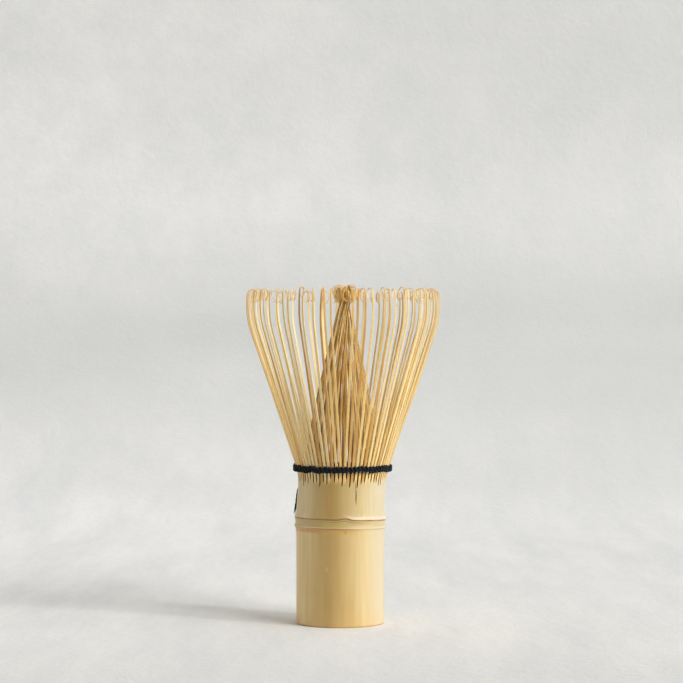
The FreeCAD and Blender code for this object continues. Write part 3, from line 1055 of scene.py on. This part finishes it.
def thread_paint():
    """Near-black indigo cotton, with painted highlights on the ridges of its plies."""
    paint = Paint("indigo_thread")
    tone, length, around = paint.split(paint.note("strand", 1))
    fuzz = paint.grain(paint.joined(*paint.place_mm()), 6.5, 4.0, 0.7)
    round_turns = paint.times(around, PLIES * math.tau)
    turn = paint.minus(round_turns, paint.times(length, math.tau / PLY_PITCH))
    ridge = paint.scaled(paint.math("COSINE", turn), -0.4, 1.0)
    # light: painted highlights along the ridges of the plies, broken by the fuzz.
    light = paint.times(ridge, paint.scaled(fuzz, 0.45, 0.72))
    navy, green = paint.mix(light, NAVY, NAVY_HIGHLIGHT), paint.mix(light, GREEN, GREEN_HIGHLIGHT)
    base = paint.mix(paint.math("GREATER_THAN", tone, 0.9), navy, green)
    paint.surface.inputs["Sheen Weight"].default_value = 0.06
    paint.surface.inputs["Sheen Roughness"].default_value = 0.5
    paint.surface.inputs["Sheen Tint"].default_value = SHEEN_TINT
    paint.surface.inputs["Specular IOR Level"].default_value = 0.3
    height = paint.plus(paint.times(ridge, 0.7), fuzz)
    return paint.finish(base, 0.8, paint.bump(height, 0.7, 0.00012))


def stage_paint():
    """A pale, faintly clouded surface for the floor and the backdrop, with painted shade. Its places are
    in metres.
    """
    paint = Paint("pale_plaster")
    place = paint.add("TexCoord", output=3)
    x, y, z = paint.split(place)
    stretched = paint.joined(paint.times(x, 1.1), paint.times(y, 0.2), z)
    cloud = paint.grain(stretched, 30.0, 7.0, 0.70)
    speck = paint.grain(place, 260.0, 4.0, 0.7)
    veil = paint.grain(paint.joined(paint.times(x, 0.35), 0.0, z), 7.0, 4.0, 0.6)
    # A darker band across the wall at about 95 mm, then painted shade: the wall darker than the floor,
    # darker to its right and near its top.
    wall_band_and_painted_shade = paint.times(paint.band(z, 0.095, 0.080), 0.62)
    wall_band_and_painted_shade = paint.plus(wall_band_and_painted_shade, paint.scaled(z, 0.0, 0.02, 0.0, 0.34))
    wall_band_and_painted_shade = paint.plus(wall_band_and_painted_shade, paint.times(paint.scaled(z, 0.0, 0.03), paint.scaled(x, -0.05, 0.15, 0.0, 0.16)))
    wall_band_and_painted_shade = paint.plus(wall_band_and_painted_shade, paint.scaled(z, 0.19, 0.27, 0.0, 0.14))
    base = paint.layered(
        paint.ramp(cloud, PLASTER),
        (
            (PAINTED_SHADE_GREY, wall_band_and_painted_shade, paint.scaled(veil, 0.35, 0.65, 1.10, 0.75)),
            # Painted shade: darker to the right, and on the floor towards the camera.
            (PAINTED_SHADE_GREY, paint.scaled(x, -0.20, 0.20), 0.28),
            (PAINTED_NEAR_SHADE, paint.scaled(y, -0.010, -0.16), 0.35),
        ),
    )
    return paint.finish(base, 0.9, paint.bump(paint.plus(speck, paint.times(cloud, 0.6)), 0.35, 0.0008))


# Stage, light and camera, in metres ---------------------------------------------------------

TABLE_EDGE, WALL_AT = -0.62, 0.55
STAGE_HALF_WIDTH, STAGE_HEIGHT = 1.6, 1.6
STAGE_BEND, BEND_STEPS = 0.22, 16

WINDOW_WHITE = (1.0, 0.985, 0.955)
SIDE_WHITE = (1.0, 0.995, 0.985)
BOUNCE_WHITE = (1.0, 0.99, 0.97)
BOUNCE_CREAM = (1.0, 0.95, 0.85)
SKY_WHITE = (1.0, 0.995, 0.99, 1.0)
# Each light's name, direction and height in degrees, distance, width, watts and colour.
LIGHTS = (
    ("window_near_pane", 57, 29, 6.0, 1.2, 151.0, WINDOW_WHITE),
    ("window_far_pane", 39, 26, 6.0, 1.6, 130.0, WINDOW_WHITE),
    ("side_window", 82, 24, 6.0, 3.6, 83.0, SIDE_WHITE),
    ("right_wall_bounce", 98, 8, 3.0, 1.8, 6.0, BOUNCE_WHITE),
    ("left_wall_bounce", -112, 10, 3.0, 1.6, 45.0, BOUNCE_CREAM),
)
LIGHTS_AIM = Vector((0, 0, 0.05))
SKY_ABOVE, SKY_RIGHT, SKY_BASE = 0.25, 0.16, 0.03

CAMERA_AT = (0.0004, -0.728, 0.0910)
LENS_MM, SENSOR_MM = 118.6, 36.0


def make_stage():
    """A table that curves up into a wall behind the whisk."""
    outline = [(TABLE_EDGE, 0.0)]
    for i in range(BEND_STEPS + 1):
        a = math.pi / 2 * i / BEND_STEPS
        y = WALL_AT - STAGE_BEND + STAGE_BEND * math.sin(a)
        outline.append((y, STAGE_BEND - STAGE_BEND * math.cos(a)))
    outline.append((WALL_AT, STAGE_HEIGHT))
    points = [(side * STAGE_HALF_WIDTH, y, z) for y, z in outline for side in (-1, 1)]
    faces = [(2 * i, 2 * i + 1, 2 * i + 3, 2 * i + 2) for i in range(len(outline) - 1)]
    mesh = bpy.data.meshes.new("backdrop")
    mesh.from_pydata(points, [], faces)
    mesh.polygons.foreach_set("use_smooth", [True] * len(faces))
    mesh.materials.append(stage_paint())
    stage = linked("backdrop", mesh)


def add_area(name, direction_deg, height_deg, distance, size, power, colour):
    """A soft light, placed by its direction from the whisk: 0 is the camera's, 90 the right."""
    light = bpy.data.lights.new(name, "AREA")
    light.shape, light.size, light.energy, light.color = "DISK", size, power, colour
    lamp = linked(name, light)
    a, e = math.radians(direction_deg), math.radians(height_deg)
    away = Vector((math.sin(a) * math.cos(e), -math.cos(a) * math.cos(e), math.sin(e)))
    lamp.location = LIGHTS_AIM + away * distance
    lamp.rotation_mode = "QUATERNION"
    lamp.rotation_quaternion = away.to_track_quat("Z", "Y")


def make_lights():
    """Two panes of a front right window, one at the side, the light off two walls, and sky."""
    for light in LIGHTS:
        add_area(*light)
    world = bpy.data.worlds.new("studio")
    world.use_nodes = True
    shader = Shader(world.node_tree)
    background = world.node_tree.nodes["Background"]
    x, _, z = shader.split(shader.add("TexCoord", output=0))
    above = shader.times(shader.math("MAXIMUM", z, 0.0), SKY_ABOVE)
    right = shader.times(shader.math("MAXIMUM", x, 0.0), SKY_RIGHT)
    background.inputs[0].default_value = SKY_WHITE
    shader.feed(background.inputs[1], shader.plus(shader.plus(above, right), SKY_BASE))
    bpy.context.scene.world = world


def make_camera():
    """A long lens, level, at the height of the tines' upper third."""
    data = bpy.data.cameras.new("camera")
    data.lens, data.sensor_width = LENS_MM, SENSOR_MM
    data.clip_start, data.clip_end = 0.05, 20.0
    camera = linked("camera", data)
    camera.location = CAMERA_AT
    camera.rotation_euler = (math.pi / 2, 0, 0)
    bpy.context.scene.camera = camera


# Assembly -----------------------------------------------------------------------------------

bpy.context.scene.view_settings.view_transform = "Standard"
make_camera()
make_lights()
make_stage()

outer_paint = tine_paint(
    "shaved_outer",
    pale=(1.0, 0.84, 0.44),
    mid=(0.98, 0.69, 0.23),
    deep=(0.58, 0.29, 0.06),
    tip=(0.82, 0.44, 0.08),
    root_shade=0.0,
)
inner_paint = tine_paint(
    "shaved_inner",
    pale=(1.0, 0.75, 0.27),
    mid=(0.84, 0.46, 0.09),
    # The inner tines' deep tone is their darker bamboo, made darker still as painted shade for the inside
    # of the cone.
    deep=(0.17, 0.06, 0.008),
    tip=(0.78, 0.42, 0.07),
    # root_shade 1.0: the slits' painted shade covers every face of the inner roots.
    root_shade=1.0,
)
cotton = thread_paint()
make_culm(culm_paint())
for segment in range(SEGMENTS):
    fan("outer", segment, outer_paint)
    fan("inner", segment, inner_paint)
make_thread(cotton)
make_tail(cotton)
